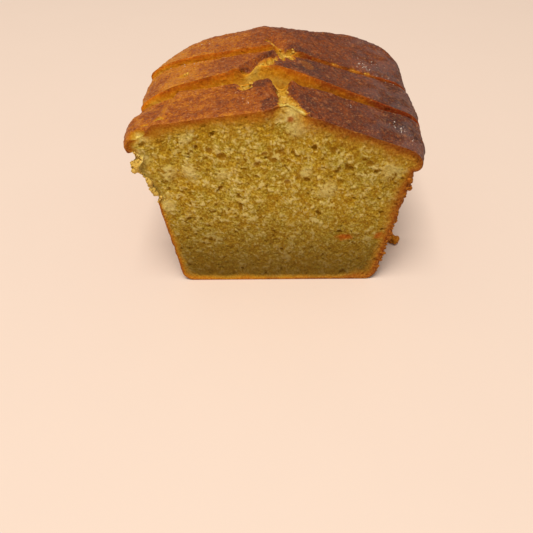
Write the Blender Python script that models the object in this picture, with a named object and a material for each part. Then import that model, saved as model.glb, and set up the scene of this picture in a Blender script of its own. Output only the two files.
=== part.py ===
"""Pound cake loaf, part cut.

Two slices stand in place in front of the uncut end of the loaf. Each piece is lofted
from sections across the loaf: walls shaped by the tin below, a crown of crust that
mushrooms over the tin's rim above, and a split that zigzags along the crown.
The loaf lies along Y with its cut face towards -Y, and rests on Z = 0. Distances
"along" the loaf are counted from the front cut face.
"""

import math

import bmesh
import bpy
import numpy as np

# Whole loaf
LENGTH = 0.1110
TIN_AXIS_X = -0.0008

# Walls, as the tin left them
FLOOR_HALF_WIDTH = 0.0487
RIM_HALF_WIDTH = 0.0570
RIM_HEIGHT = 0.0640
FLOOR_CORNER = 0.0060
END_WALL_LEAN = 0.0075

# Crown: how softly its two sides meet at the ridge
RIDGE_SOFTNESS = 0.0060

# Lips: the crust that hangs over the tin's rim. A round is how far in and how far
# down the crown curves before the lip's tip.
RIGHT_ROUND = (0.0085, 0.0054)
RIGHT_UNDERSIDE = 0.0036
LEFT_ROUND = (0.0230, 0.0070)
LEFT_UNDERSIDE = 0.0062
LIP_SWELL = 0.0012

# Torn crumb that swells out of the front slice's left wall
TORN_HEIGHT = 0.0665
TORN_REACH = 0.0095
TORN_SWELL = 0.0036
TORN_FADE = 0.0040

# Rounded far end: how far in from each side and up from the floor the surface turns
# before it reaches the far wall, how much longer than deep the crown's turn is, where
# the turn begins, how far the far lip hangs out and how far down it blends into the
# leaning wall, and how near its middle the wall's innermost ring comes
END_ROUND_LEFT = 0.0330
END_ROUND_RIGHT = 0.0270
END_ROUND_FLOOR = 0.0070
END_CROWN_STRETCH = 1.35
END_BODY = 0.0830
END_LIP_HANG = 0.0035
END_LIP_REACH = 0.0090
END_WALL_INNERMOST = 0.8

# Points on one section, and sections along a piece
FLOOR_POINTS = 10
WALL_POINTS = 16
HALF_CROWN_POINTS = 38
SPLIT_GATHER = 1.4
SLICE_SECTIONS = 11
END_BODY_SECTIONS = 6
END_ROUND_SECTIONS = 9
END_WALL_RINGS = 5
DENSE = 600
SHARP_EDGE = math.radians(40.0)

# One row for each piece. Each pair holds the values at its near and far cut: the
# distance along the loaf at the floor, how much further along the cut stands at
# crown height, how far the lips reach to the right and left, the ridge's height and
# place across, the crown's fall on its right and left side, and how far the split lies
# across, half its width and its depth.
PIECES = {
    "slice_front": {
        "along": (0.0, 0.0298),
        "lean": (0.0, -0.0023),
        "lip_right": (0.0606, 0.0650),
        "lip_left": (0.0638, 0.0650),
        "ridge": (0.0940, 0.0948),
        "ridge_x": (0.0012, -0.0034),
        "fall_right": (0.362, 0.328),
        "fall_left": (0.131, 0.189),
        "split_x": (0.0025, 0.0002),
        "split_half": (0.0052, 0.0026),
        "split_depth": (0.0005, 0.0034),
    },
    "slice_second": {
        "along": (0.0307, 0.0611),
        "lean": (0.0023, -0.0006),
        "lip_right": (0.0664, 0.0658),
        "lip_left": (0.0636, 0.0630),
        "ridge": (0.0985, 0.0933),
        "ridge_x": (-0.0043, -0.0028),
        "fall_right": (0.392, 0.304),
        "fall_left": (0.264, 0.169),
        "split_x": (-0.0150, 0.0030),
        "split_half": (0.0026, 0.0022),
        "split_depth": (0.0030, 0.0026),
    },
    "loaf_end": {
        "along": (0.0619, LENGTH),
        "lean": (0.0014, 0.0),
        "lip_right": (0.0656, 0.0650),
        "lip_left": (0.0630, 0.0615),
        "ridge": (0.0945, 0.0948),
        "ridge_x": (-0.0044, -0.0085),
        "fall_right": (0.311, 0.215),
        "fall_left": (0.163, 0.370),
        "split_x": (0.0040, -0.0200),
        "split_half": (0.0036, 0.0010),
        "split_depth": (0.0030, -0.0020),
    },
}
CROWN_LEVEL = 0.095
SPLIT_RIM = 0.0012
SPLIT_RIM_PLACE = 1.9
DEEPEST_SPLIT = 0.0034
FRONT_PEAK = 0.0045
FRONT_PEAK_REACH = 0.0080

# Fold in the front slice's crust: left of a slanting line the lip lies lower
FOLD_X = (-0.0520, -0.0440)
FOLD_DROP = 0.0018
FOLD_WIDTH = 0.0030
FOLD_EDGE = 0.0007
FOLD_EDGE_PLACE = -0.5


def smooth_step(value):
    """Ease from 0 to 1 as value goes from 0 to 1."""
    t = np.clip(value, 0.0, 1.0)
    return t * t * (3.0 - 2.0 * t)


def mix(pair, t):
    """The value a part t of the way from the first of the pair to the second."""
    return pair[0] + (pair[1] - pair[0]) * t


def resample(points, count, gather_start=1.0, gather_end=1.0):
    """Move along a polyline and mark count points, leaving out the last end.

    A gather above 1 draws the points together towards that end.
    """
    steps = np.hypot(*np.diff(points, axis=0).T)
    travelled = np.concatenate(([0.0], np.cumsum(steps)))
    share = np.linspace(0.0, 1.0, count, endpoint=False) ** gather_start
    share = 1.0 - (1.0 - share) ** gather_end
    marks = share * travelled[-1]
    return np.column_stack([np.interp(marks, travelled, points[:, k]) for k in (0, 1)])


def wall_half_width(height):
    """Half the width between the tin's walls at a height."""
    return FLOOR_HALF_WIDTH + (RIM_HALF_WIDTH - FLOOR_HALF_WIDTH) * height / RIM_HEIGHT


def part_way(along, name):
    """How far through its piece a section stands, from 0 to 1."""
    start, end = PIECES[name]["along"]
    return min(max((along - start) / (end - start), 0.0), 1.0)


def lip_tips(along, name):
    """How far the right and left lips reach from the tin's axis."""
    piece = PIECES[name]
    t = part_way(along, name)
    swell = LIP_SWELL * math.sin(math.pi * t)
    return mix(piece["lip_right"], t) + swell, mix(piece["lip_left"], t) + swell


def crown_height(x, along, name):
    """Height of the crown over x, before the lips round it off."""
    piece = PIECES[name]
    t = part_way(along, name)
    fall_right = mix(piece["fall_right"], t)
    fall_left = mix(piece["fall_left"], t)
    from_ridge = x - mix(piece["ridge_x"], t)
    softened = np.sqrt(from_ridge**2 + RIDGE_SOFTNESS**2) - RIDGE_SOFTNESS
    fall = 0.5 * (fall_right + fall_left) * softened
    return mix(piece["ridge"], t) - fall - 0.5 * (fall_right - fall_left) * from_ridge


def split_relief(x, along, name):
    """Height of the split's valley, its crust rims and the crumb peak at the cut."""
    piece = PIECES[name]
    t = part_way(along, name)
    off = (x - mix(piece["split_x"], t)) / mix(piece["split_half"], t)
    depth = max(mix(piece["split_depth"], t), 0.0)
    valley = np.exp(-(off**2))
    rims = np.exp(-((np.abs(off) - SPLIT_RIM_PLACE) ** 2))
    relief = SPLIT_RIM * (depth / DEEPEST_SPLIT) * rims - depth * valley
    if name == "slice_front":
        relief += FRONT_PEAK * math.exp(-((along / FRONT_PEAK_REACH) ** 2)) * valley
    return relief


def fold_relief(x, along, name):
    """Step down from the crown to the front slice's left lip, below a rolled edge."""
    if name != "slice_front":
        return np.zeros_like(x)
    off = (mix(FOLD_X, part_way(along, name)) - x) / FOLD_WIDTH
    return FOLD_EDGE * np.exp(-((off - FOLD_EDGE_PLACE) ** 2)) - FOLD_DROP * smooth_step(off)


def wall_and_lip(side, tip, tip_height, underside, swell):
    """One wall from its floor corner up to the lip's tip; side is 1 right, -1 left."""
    quarter = np.linspace(0.0, 0.5 * math.pi, DENSE)
    wall_z = np.linspace(FLOOR_CORNER, tip_height - underside, DENSE)
    wall_x = wall_half_width(wall_z)
    torn = np.exp(-(((wall_z - TORN_HEIGHT) / TORN_REACH) ** 2))
    wall_x += swell * torn * smooth_step((wall_z[-1] - wall_z) / TORN_FADE)
    corner_x = wall_x[0] - FLOOR_CORNER * (1.0 - np.sin(quarter))
    corner_z = FLOOR_CORNER * (1.0 - np.cos(quarter))
    lip_x = wall_x[-1] + (tip - wall_x[-1]) * np.sin(quarter)
    lip_z = tip_height - underside * np.cos(quarter)
    x = np.concatenate((corner_x, wall_x, lip_x))
    z = np.concatenate((corner_z, wall_z, lip_z))
    return np.column_stack((side * x, z))


def crown_arc(along, name, right, left):
    """The crown from the right lip's tip to the left one, without the split."""
    turn = np.linspace(0.5 * math.pi, 0.0, DENSE)
    right_x = right - RIGHT_ROUND[0] * (1.0 - np.sin(turn))
    right_drop = RIGHT_ROUND[1] * (1.0 - np.cos(turn))
    left_x = -left + LEFT_ROUND[0] * (1.0 - np.sin(turn[::-1]))
    left_drop = LEFT_ROUND[1] * (1.0 - np.cos(turn[::-1]))
    middle_x = np.linspace(right_x[-1], left_x[0], DENSE)[1:-1]
    x = np.concatenate((right_x, middle_x, left_x))
    drop = np.concatenate((right_drop, np.zeros(len(middle_x)), left_drop))
    return np.column_stack((x, crown_height(x, along, name) - drop))


def section(along, name):
    """Closed outline (x, z) of the loaf at a distance along it, counter-clockwise."""
    right, left = lip_tips(along, name)
    crown = crown_arc(along, name, right, left)
    swell = TORN_SWELL if name == "slice_front" else 0.0
    right_wall = wall_and_lip(1.0, right, crown[0, 1], RIGHT_UNDERSIDE, 0.0)
    left_wall = wall_and_lip(-1.0, left, crown[-1, 1], LEFT_UNDERSIDE, swell)[::-1]
    floor = np.array([left_wall[-1], right_wall[0]])
    split_x = mix(PIECES[name]["split_x"], part_way(along, name))
    at_split = np.searchsorted(-crown[:, 0], -split_x)
    right_crown = resample(crown[: at_split + 1], HALF_CROWN_POINTS, gather_end=SPLIT_GATHER)
    left_crown = resample(crown[at_split:], HALF_CROWN_POINTS, gather_start=SPLIT_GATHER)
    crown = np.concatenate((right_crown, left_crown))
    crown[1:, 1] += split_relief(crown[1:, 0], along, name)
    crown[1:, 1] += fold_relief(crown[1:, 0], along, name)
    walls = [resample(wall, WALL_POINTS) for wall in (right_wall, left_wall)]
    return np.concatenate((resample(floor, FLOOR_POINTS), walls[0], crown, walls[1]))


def to_ring(outline, along, name):
    """Points in the part's frame from an outline and its distance along the loaf."""
    lean = mix(PIECES[name]["lean"], part_way(np.max(along), name))
    ring = np.empty((len(outline), 3))
    ring[:, 0] = outline[:, 0] + TIN_AXIS_X
    ring[:, 1] = along + lean * outline[:, 1] / CROWN_LEVEL - 0.5 * LENGTH
    ring[:, 2] = outline[:, 1]
    return ring


def body_rings(name, start, end, count):
    """Evenly spaced sections between two distances along the loaf."""
    return [to_ring(section(a, name), a, name) for a in np.linspace(start, end, count)]


def end_wall_along(height, lip_height):
    """Where the far wall stands at a height: it leans like the tin, under a lip."""
    wall = LENGTH - END_LIP_HANG - END_WALL_LEAN * (1.0 - height / RIM_HEIGHT)
    lip = smooth_step((height - lip_height + END_LIP_REACH) / END_LIP_REACH)
    return wall + (LENGTH - wall) * lip


def end_core(outline, lip_height):
    """The far wall's edge: the outline drawn in by the end's rounding."""
    low = outline[:, 0].min() + END_ROUND_LEFT
    high = outline[:, 0].max() - END_ROUND_RIGHT
    core_x = np.clip(outline[:, 0], low, high)
    core_z = np.clip(outline[:, 1], END_ROUND_FLOOR, lip_height)
    return np.column_stack((core_x, core_z))


def end_rings(name):
    """Sections from the end piece's cut, round the far corners and over its far wall."""
    start = PIECES[name]["along"][0]
    outline = section(LENGTH, name)
    tips = outline[[np.argmin(outline[:, 0]), np.argmax(outline[:, 0])], 1]
    lip_height = tips.mean()
    core = end_core(outline, lip_height)
    far = end_wall_along(core[:, 1], lip_height)
    inset = np.abs(section(END_BODY, name) - core)
    crown_inset = np.where(outline[:, 1] > lip_height, END_CROWN_STRETCH, 1.0) * inset[:, 1]
    turn_start = far - np.hypot(inset[:, 0], crown_inset)
    rings = []
    for t in np.linspace(0.0, 1.0, END_BODY_SECTIONS):
        outline = section(start + (END_BODY - start) * t, name)
        rings.append(to_ring(outline, start + (turn_start - start) * t, name))
    for turn in np.linspace(0.0, 0.5 * math.pi, END_ROUND_SECTIONS)[1:]:
        outline = section(END_BODY + (LENGTH - END_BODY) * math.sin(turn), name)
        ring = core + (outline - core) * math.cos(turn)
        rings.append(to_ring(ring, turn_start + (far - turn_start) * math.sin(turn), name))
    centre = core.mean(axis=0)
    for inward in np.linspace(0.0, END_WALL_INNERMOST, END_WALL_RINGS)[1:]:
        ring = core + (centre - core) * inward
        rings.append(to_ring(ring, end_wall_along(ring[:, 1], lip_height), name))
    return rings


def loft(name, rings):
    """Join the rings into one closed body with a flat cap at each end."""
    bm = bmesh.new()
    loops = [[bm.verts.new(point) for point in ring] for ring in rings]
    count = len(loops[0])
    for near, far in zip(loops, loops[1:]):
        for k in range(count):
            after = (k + 1) % count
            bm.faces.new((near[k], near[after], far[after], far[k]))
    bm.faces.new(loops[0][::-1])
    bm.faces.new(loops[-1])
    bmesh.ops.recalc_face_normals(bm, faces=bm.faces)
    bmesh.ops.triangulate(bm, faces=bm.faces, quad_method="BEAUTY", ngon_method="BEAUTY")
    mesh = bpy.data.meshes.new(name)
    bm.to_mesh(mesh)
    bm.free()
    mesh.shade_smooth()
    mesh.set_sharp_from_angle(angle=SHARP_EDGE)
    return mesh


def make_material(name, colour, roughness):
    """A plain Principled material in linear colour."""
    material = bpy.data.materials.new(name)
    material.use_nodes = True
    shader = material.node_tree.nodes["Principled BSDF"]
    shader.inputs["Base Color"].default_value = (*colour, 1.0)
    shader.inputs["Roughness"].default_value = roughness
    shader.inputs["Metallic"].default_value = 0.0
    return material


def add_piece(name, rings, material):
    """Put one finished piece in the scene."""
    mesh = loft(name, rings)
    mesh.materials.append(material)
    piece = bpy.data.objects.new(name, mesh)
    bpy.context.scene.collection.objects.link(piece)
    return piece


def main():
    for old in list(bpy.data.objects):
        bpy.data.objects.remove(old)
    cut_crumb = make_material("Cut crumb and crust", (0.52, 0.30, 0.06), 0.8)
    light_crust = make_material("Light crust", (0.36, 0.13, 0.03), 0.6)
    dark_crust = make_material("Dark crust", (0.26, 0.09, 0.03), 0.5)
    for name, material in (("slice_front", cut_crumb), ("slice_second", light_crust)):
        add_piece(name, body_rings(name, *PIECES[name]["along"], SLICE_SECTIONS), material)
    add_piece("loaf_end", end_rings("loaf_end"), dark_crust)


main()
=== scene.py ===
"""Looks of a pound cake loaf, part cut: two slices standing in place before the uncut end.

Every piece of cake is one closed skin. Its walls, lips and crown are grids worked out
from the loaf's sections, its cut faces are grids or rings between their edges, and its
underside is flat. Fields over the skin tell crust from crumb, pale from brown and pore
from grain; they press the skin in and they drive its material.
"""

import itertools
import math
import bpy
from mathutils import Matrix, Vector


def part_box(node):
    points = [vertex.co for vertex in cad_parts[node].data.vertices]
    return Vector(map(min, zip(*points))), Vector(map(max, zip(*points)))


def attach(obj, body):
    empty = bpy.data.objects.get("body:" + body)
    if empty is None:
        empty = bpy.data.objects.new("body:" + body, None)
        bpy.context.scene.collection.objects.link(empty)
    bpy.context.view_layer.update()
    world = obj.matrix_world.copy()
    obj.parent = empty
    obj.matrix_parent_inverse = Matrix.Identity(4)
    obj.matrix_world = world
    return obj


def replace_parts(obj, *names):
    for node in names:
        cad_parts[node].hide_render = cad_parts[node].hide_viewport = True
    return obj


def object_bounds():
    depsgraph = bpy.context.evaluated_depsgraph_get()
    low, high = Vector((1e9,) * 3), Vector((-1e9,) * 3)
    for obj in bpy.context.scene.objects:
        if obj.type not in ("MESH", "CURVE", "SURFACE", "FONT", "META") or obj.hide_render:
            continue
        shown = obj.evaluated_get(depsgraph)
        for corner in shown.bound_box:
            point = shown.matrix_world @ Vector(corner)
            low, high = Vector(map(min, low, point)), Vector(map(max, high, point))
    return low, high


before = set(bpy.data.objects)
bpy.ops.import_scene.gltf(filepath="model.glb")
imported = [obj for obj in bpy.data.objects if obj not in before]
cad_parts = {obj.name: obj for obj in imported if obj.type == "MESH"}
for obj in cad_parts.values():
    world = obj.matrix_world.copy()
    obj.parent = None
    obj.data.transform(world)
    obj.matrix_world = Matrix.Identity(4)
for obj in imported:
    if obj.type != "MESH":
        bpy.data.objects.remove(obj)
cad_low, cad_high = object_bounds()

from types import SimpleNamespace

import bmesh
import bpy
import numpy as np

MM = 0.001

# The tin's shape, which the walls keep
TIN_AXIS_X = -0.8 * MM
FLOOR_HALF_WIDTH = 48.7 * MM
RIM_HALF_WIDTH = 57.0 * MM
RIM_HEIGHT = 64.0 * MM
FLOOR_CORNER = 6.0 * MM
END_WALL_LEAN = 7.5 * MM

# Crown, and the lips that hang over the tin's rim
RIDGE_SOFTNESS = 6.0 * MM
RIGHT_ROUND = (8.5 * MM, 5.4 * MM)
LEFT_ROUND = (23.0 * MM, 7.0 * MM)
UNDERSIDE = {1: 3.6 * MM, -1: 6.2 * MM}
LIP_SWELL = 1.2 * MM
TORN_HEIGHT = 66.5 * MM
TORN_REACH = 9.5 * MM
TORN_SWELL = 3.6 * MM
TORN_FADE = 4.0 * MM

# Rounded far end
END_ROUND_LEFT = 33.0 * MM
END_ROUND_RIGHT = 27.0 * MM
END_ROUND_FLOOR = 7.0 * MM
END_CROWN_STRETCH = 1.35
END_BODY = 83.0 * MM
END_LIP_HANG = 3.5 * MM
END_LIP_REACH = 9.0 * MM

# Each pair holds a piece's values at its near and far cut
SHAPES = {
    "slice_front": {
        "lean": (0.0, -0.0023),
        "lip_right": (0.0606, 0.0650),
        "lip_left": (0.0638, 0.0650),
        "ridge": (0.0940, 0.0948),
        "ridge_x": (0.0012, -0.0034),
        "fall_right": (0.362, 0.328),
        "fall_left": (0.131, 0.189),
        "split_x": (0.0025, 0.0002),
        "split_half": (0.0052, 0.0026),
        "split_depth": (0.0005, 0.0034),
    },
    "slice_second": {
        "lean": (0.0023, -0.0006),
        "lip_right": (0.0664, 0.0658),
        "lip_left": (0.0636, 0.0630),
        "ridge": (0.0985, 0.0933),
        "ridge_x": (-0.0043, -0.0028),
        "fall_right": (0.392, 0.304),
        "fall_left": (0.264, 0.169),
        "split_x": (-0.0150, 0.0030),
        "split_half": (0.0026, 0.0022),
        "split_depth": (0.0030, 0.0026),
    },
    "loaf_end": {
        "lean": (0.0014, 0.0),
        "lip_right": (0.0656, 0.0650),
        "lip_left": (0.0630, 0.0615),
        "ridge": (0.0945, 0.0948),
        "ridge_x": (-0.0044, -0.0085),
        "fall_right": (0.311, 0.215),
        "fall_left": (0.163, 0.370),
        "split_x": (0.0040, -0.0200),
        "split_half": (0.0036, 0.0010),
        "split_depth": (0.0030, -0.0020),
    },
}

# The height that leans are given for
CROWN_LEVEL = 95.0 * MM

# The crown's split, its rims, the crumb's peak at the front cut, and the fold in the crust
SPLIT_RIM = 1.2 * MM
SPLIT_RIM_PLACE = 1.9
DEEPEST_SPLIT = 3.4 * MM
FRONT_PEAK = 4.5 * MM
FRONT_PEAK_REACH = 8.0 * MM
FOLD_X = (-52.0 * MM, -44.0 * MM)
FOLD_DROP = 1.8 * MM
FOLD_WIDTH = 3.0 * MM
FOLD_EDGE = 0.7 * MM
FOLD_EDGE_PLACE = -0.5

# Cells of each skin: up a corner, a wall and a lip's underside; along the crown's right
# round, middle and left round; from cut to cut; and round the far corners
CELLS = {
    "slice_front": {"side": (8, 150, 20), "crown": (24, 205, 52), "along": 48},
    "slice_second": {"side": (6, 110, 14), "crown": (24, 215, 54), "along": 56},
    "loaf_end": {"side": (6, 100, 14), "crown": (20, 160, 42), "along": 46, "turn": 40},
}

# Cells along the foot of a closed cut, and how much stations crowd toward both cuts
FLOOR_CELLS = 60
CROWDING = 0.06

# Rings of a closed cut, by their distance from its edge
INSETS = np.array([0.4, 0.8, 1.2, 1.7, 2.2, 2.8, 3.4, 4.1, 4.9, 5.8, 6.8, 8.0, 9.5, 12.0]) * MM

# Points of a cut that are measured against its edge at a time
CHUNK = 4000

# How many times over edges, the seams of the cuts and torn edges are smoothed
EDGE_ROUNDS = 14
SEAM_ROUNDS = 5
TORN_ROUNDS = 18

# How far a torn edge's rounding and a cut's rim reach, and how bare a chip in the rim is
TORN_ROUNDING = 3.2 * MM
RIM_REACH = 1.7 * MM
CHIP_BARENESS = 0.55

# How thick the browned layer is behind the left wall, the right wall, the crown's crust
# and the crown's left lip
THIN_CRUST = 1.6 * MM
RIGHT_CRUST = 3.4 * MM
CROWN_CRUST = 4.6 * MM
LEFT_LIP_CRUST = 2.4 * MM

# How far in the surface lies: torn crumb, the front cut, crust at a cut's rim, a torn edge
# and the torn wall's front; and how far out a closed cut may stand
TORN_DEPTH = 1.0 * MM
FRONT_CUT_DEPTH = 0.6 * MM
RIM_DEPTH = 0.35 * MM
TORN_EDGE_DEPTH = 1.5 * MM
TORN_FRONT_DEPTH = 1.6 * MM
CLOSED_CUT_LIMIT = 0.42 * MM

# Tufts that hang out of the torn wall: their height, reach and size
TUFT_HEIGHT = 68.5 * MM
TUFT_REACH = 3.4 * MM
TUFT_SIZE = 2.8 * MM

# The knob on the front slice's left lip: across, up, radius and size
KNOB_X = -61.0 * MM
KNOB_Z = 81.0 * MM
KNOB_RADIUS = 8.0 * MM
KNOB_SIZE = 2.4 * MM

# Bands in mm: where each begins and how much further on it is full; below 0, further back
CRUST_ABOVE = (66.0, 6.0)
CRUST_RIGHT = (30.0, 10.0)
CRUST_LEFT_LIP = (-50.0, -8.0)
TOP = (74.0, 4.0)
PULLED_LEFT = (-48.0, -4.0)
PULLED_ABOVE = (44.0, 12.0)
PULLED_BELOW = (73.0, 4.0)
BROWN_RIGHT = (-12.0, 34.0)
BROWN_RIGHT_LIP = (34.0, 22.0)
PALE_LEFT_LIP = (-38.0, -14.0)
PALE_LEFT = (-20.0, -20.0)
BEHIND_FRONT_SLICE = (28.0, 6.0)
UNCUT_END = (60.0, 2.0)
UNCUT_MIDDLE = (62.0, 12.0)
STUCK_RIGHT = (20.0, 20.0)
STUCK_ABOVE = (6.0, 14.0)
BROWN_FOOT = (12.0, -12.0)
FRONT_SPLIT = (14.0, -8.0)
KNOB_FRONT = (24.0, -10.0)
FOOT = (0.0, 2.5)
# Where the crown's right side turns grey: dried sugar, partly painted sheen
FROST_AND_SHEEN_RIGHT = (26.0, 26.0)
# The next two bands place painted shade on the front cut: darker toward the bottom and a little toward the
# right
PAINTED_SHADE_BELOW = (62.0, -62.0)
PAINTED_SHADE_RIGHT = (0.0, 50.0)

# How far a patch reaches, in its own half sizes, and over how much it fades out
PATCH_REACH = 1.25
PATCH_SOFTNESS = 0.5

# Where crust is torn away, in mm: centre across and along the loaf, and the half sizes;
# a fifth number below 1 leaves it only partly open
TORN = {
    "slice_front": [
        (3.4, 0.0, 6.4, 4.2), (2.6, 5.0, 4.6, 5.0), (1.5, 10.0, 3.2, 5.0),
        (0.4, 15.0, 2.2, 5.0), (0.0, 20.0, 2.0, 4.5), (-1.0, 26.0, 3.4, 4.6),
        (-4.0, 28.5, 4.6, 3.0), (-15.8, 26.0, 3.4, 5.4), (7.0, 29.0, 4.0, 1.6),
        (-53.5, 4.8, 4.4, 1.8, 0.7), (-59.5, 0.4, 3.0, 2.2),
        (-47.3, 20.0, 1.5, 5.0, 0.34), (-49.0, 13.0, 1.4, 4.0, 0.34),
    ],
    "slice_second": [
        (-12.0, 32.0, 6.0, 3.2), (-8.0, 34.0, 3.2, 4.0), (-5.0, 38.5, 2.2, 4.4),
        (-2.6, 44.0, 1.5, 4.0), (0.5, 49.5, 2.0, 4.4), (3.6, 55.0, 3.6, 4.6),
        (3.0, 60.0, 5.5, 3.0), (-44.8, 45.0, 2.4, 3.4, 0.5), (11.5, 50.0, 4.0, 6.5, 0.28),
    ],
    "loaf_end": [
        (2.4, 63.5, 4.4, 3.6), (-1.0, 66.0, 3.4, 3.0), (-4.6, 69.0, 2.2, 2.8),
        (27.0, 63.0, 1.8, 1.4), (37.0, 63.4, 2.4, 1.6), (43.5, 64.0, 1.8, 1.4),
    ],
}

# Where crust is browner, in mm: the same, and how much
SCORCHED = {
    "slice_front": [
        (-5.0, 5.0, 3.6, 8.0, 0.28), (-10.0, 25.0, 4.4, 4.4, 0.24), (-21.0, 26.0, 5.0, 4.0, 0.18),
        (9.5, 12.0, 4.0, 10.0, 0.14), (-55.0, 14.0, 4.0, 9.0, 0.10), (-63.0, 4.0, 3.0, 8.0, 0.12),
    ],
    "slice_second": [
        (-14.0, 37.5, 4.4, 4.4, 0.16), (0.0, 38.0, 5.0, 4.0, 0.26), (8.0, 43.0, 8.0, 4.5, 0.18),
        (-6.0, 50.0, 6.0, 6.0, 0.18), (12.0, 52.0, 7.0, 6.0, 0.10), (-58.0, 42.0, 6.0, 8.0, 0.14),
    ],
    "loaf_end": [
        (9.0, 66.5, 7.0, 4.0, 0.16), (-9.0, 72.0, 6.0, 8.0, 0.10), (-40.0, 84.0, 14.0, 12.0, 0.10),
    ],
}

# Holes that stand out in the front cut, in mm: across, up, and radius
HOLES = [
    (-31, 76, 1.6), (-26, 73, 2.0), (-11, 69, 1.7), (-8, 74, 1.3), (-4, 71, 1.4), (-1, 75, 1.6),
    (2, 60, 1.5), (21, 76, 1.8), (29, 76, 1.1), (37, 69, 1.6), (-36, 81, 1.3), (23, 65, 1.3),
]

# Amber stains in the front cut, in mm: across, up, half width and half height
STAINS = [
    (30, 28, 4.6, 2.0), (47, 29, 2.6, 2.2), (2.6, 90, 1.6, 1.6), (-52, 84, 4.4, 1.6), (-65, 81, 2.6, 4.0),
]

# Pale lumps of crumb in the front cut, in mm: across, up and radius
PALE_LUMPS = [
    (-40, 81, 2.4), (-26, 64, 3.0), (-3, 73, 2.4), (5, 86, 5.0), (3.4, 92, 5.4), (-40, 66, 3.8),
    (-49, 65, 4.4), (-52, 48, 3.6), (47, 65, 5.0), (10, 65, 3.2), (20, 56, 4.4), (-57, 82, 3.4),
    (-50, 88, 3.0),
]

# The fallen crumb: across, along and up, and its radius
FALLEN_X = 62.6 * MM
FALLEN_ALONG = 28.0 * MM
FALLEN_Z = 2.3 * MM
FALLEN_RADIUS = 3.0 * MM

# Clusters of sugar on the crown, in mm: centre across and along, and how many crystals
SUGAR = [
    (50, 16, 14), (54, 12, 12), (42, 70, 16), (47, 77, 8), (53, 63, 8), (-14, 12, 5), (-43, 59, 4),
    (-36, 80, 4), (30, 20, 5), (-47, 62, 4),
]

# How far crystals stray from their cluster's middle in mm, across and along, and their radii
SUGAR_STRAY = (2.6, 1.8)
SUGAR_RADII = (0.16 * MM, 0.40 * MM)


# --- numbers that repeat -------------------------------------------------------------


def smooth_step(value):
    """Ease from 0 to 1 as value goes from 0 to 1."""
    t = np.clip(value, 0.0, 1.0)
    return t * t * (3.0 - 2.0 * t)


def ease(value, start, reach):
    """Ease from 0 at a start to 1 a reach further on, in mm; a reach below 0 goes back."""
    return smooth_step((value - start * MM) / (reach * MM))


def bell(offset):
    """1 at no offset, falling away on both sides: e to the power of minus its square."""
    return np.exp(-(offset**2))


def mix(pair, t):
    """The value a share t of the way from the first of the pair to the second."""
    return pair[0] + (pair[1] - pair[0]) * t


def cell_random(cell, salt):
    """A repeatable number from 0 to 1 for each whole-number cell (last axis x, y, z)."""
    low_bits = 0xFFFFFFFF
    n = (cell[..., 0] * 0x9E3779B1) ^ (cell[..., 1] * 0x85EBCA77) ^ (cell[..., 2] * 0xC2B2AE3D)
    n = (n ^ (salt * 0x27D4EB2F)) & low_bits
    n = ((n ^ (n >> 15)) * 0x2C1B3C6D) & low_bits
    n = ((n ^ (n >> 12)) * 0x297A2D39) & low_bits
    return (n ^ (n >> 15)) / float(low_bits)


def soft_noise(points, size, salt):
    """Smooth noise from -1 to 1: random corner values of a grid of that size, blended."""
    place = points / size
    base = np.floor(place).astype(np.int64)
    share = place - base
    share = share**3 * (share * (share * 6.0 - 15.0) + 10.0)
    total = np.zeros(len(points))
    for corner in itertools.product((0, 1), repeat=3):
        weight = np.prod(np.where(corner, share, 1.0 - share), axis=1)
        total += weight * cell_random(base + np.array(corner), salt)
    return 2.0 * total - 1.0


def cloudy(points, size, salt, octaves=3, fading=0.5):
    """Soft noise summed over octaves, each half as large, and fainter by a factor."""
    return sum(soft_noise(points, size / 2**k, salt + k) * fading**k for k in range(octaves))


def near_seeds(points, size, salt):
    """For every neighbouring cell of a grid, each point's vector to its one random seed."""
    place = points / size
    base = np.floor(place).astype(np.int64)
    for shift in itertools.product((-1, 0, 1), repeat=3):
        cell = base + np.array(shift)
        jitter = np.stack([cell_random(cell, salt + k) for k in (1, 2, 3)], axis=1)
        yield cell, (place - cell - jitter) * size


def grains(points, size, salt):
    """Distance to the nearest seed in grid sizes, and that seed's own random number."""
    nearest = np.full(len(points), 9.0)
    tag = np.zeros(len(points))
    for cell, away in near_seeds(points, size, salt):
        distance = np.linalg.norm(away, axis=1) / size
        closer = distance < nearest
        tag = np.where(closer, cell_random(cell, salt + 4), tag)
        nearest = np.minimum(nearest, distance)
    return nearest, tag


def bubbles(points, size, radii, share, salt):
    """How deep each point lies in round holes: a share of the cells holds one each."""
    depth = np.zeros(len(points))
    for cell, away in near_seeds(points, size, salt):
        radius = mix(radii, cell_random(cell, salt + 4) ** 2)
        radius = np.where(cell_random(cell, salt + 5) < share, radius, 0.0)
        depth = np.maximum(depth, np.sqrt(np.maximum(radius**2 - np.sum(away**2, axis=1), 0.0)))
    return depth


# --- the loaf's sections -------------------------------------------------------------


def wall_half_width(height):
    """Half the width between the tin's walls at a height."""
    return FLOOR_HALF_WIDTH + (RIM_HALF_WIDTH - FLOOR_HALF_WIDTH) * height / RIM_HEIGHT


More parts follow.
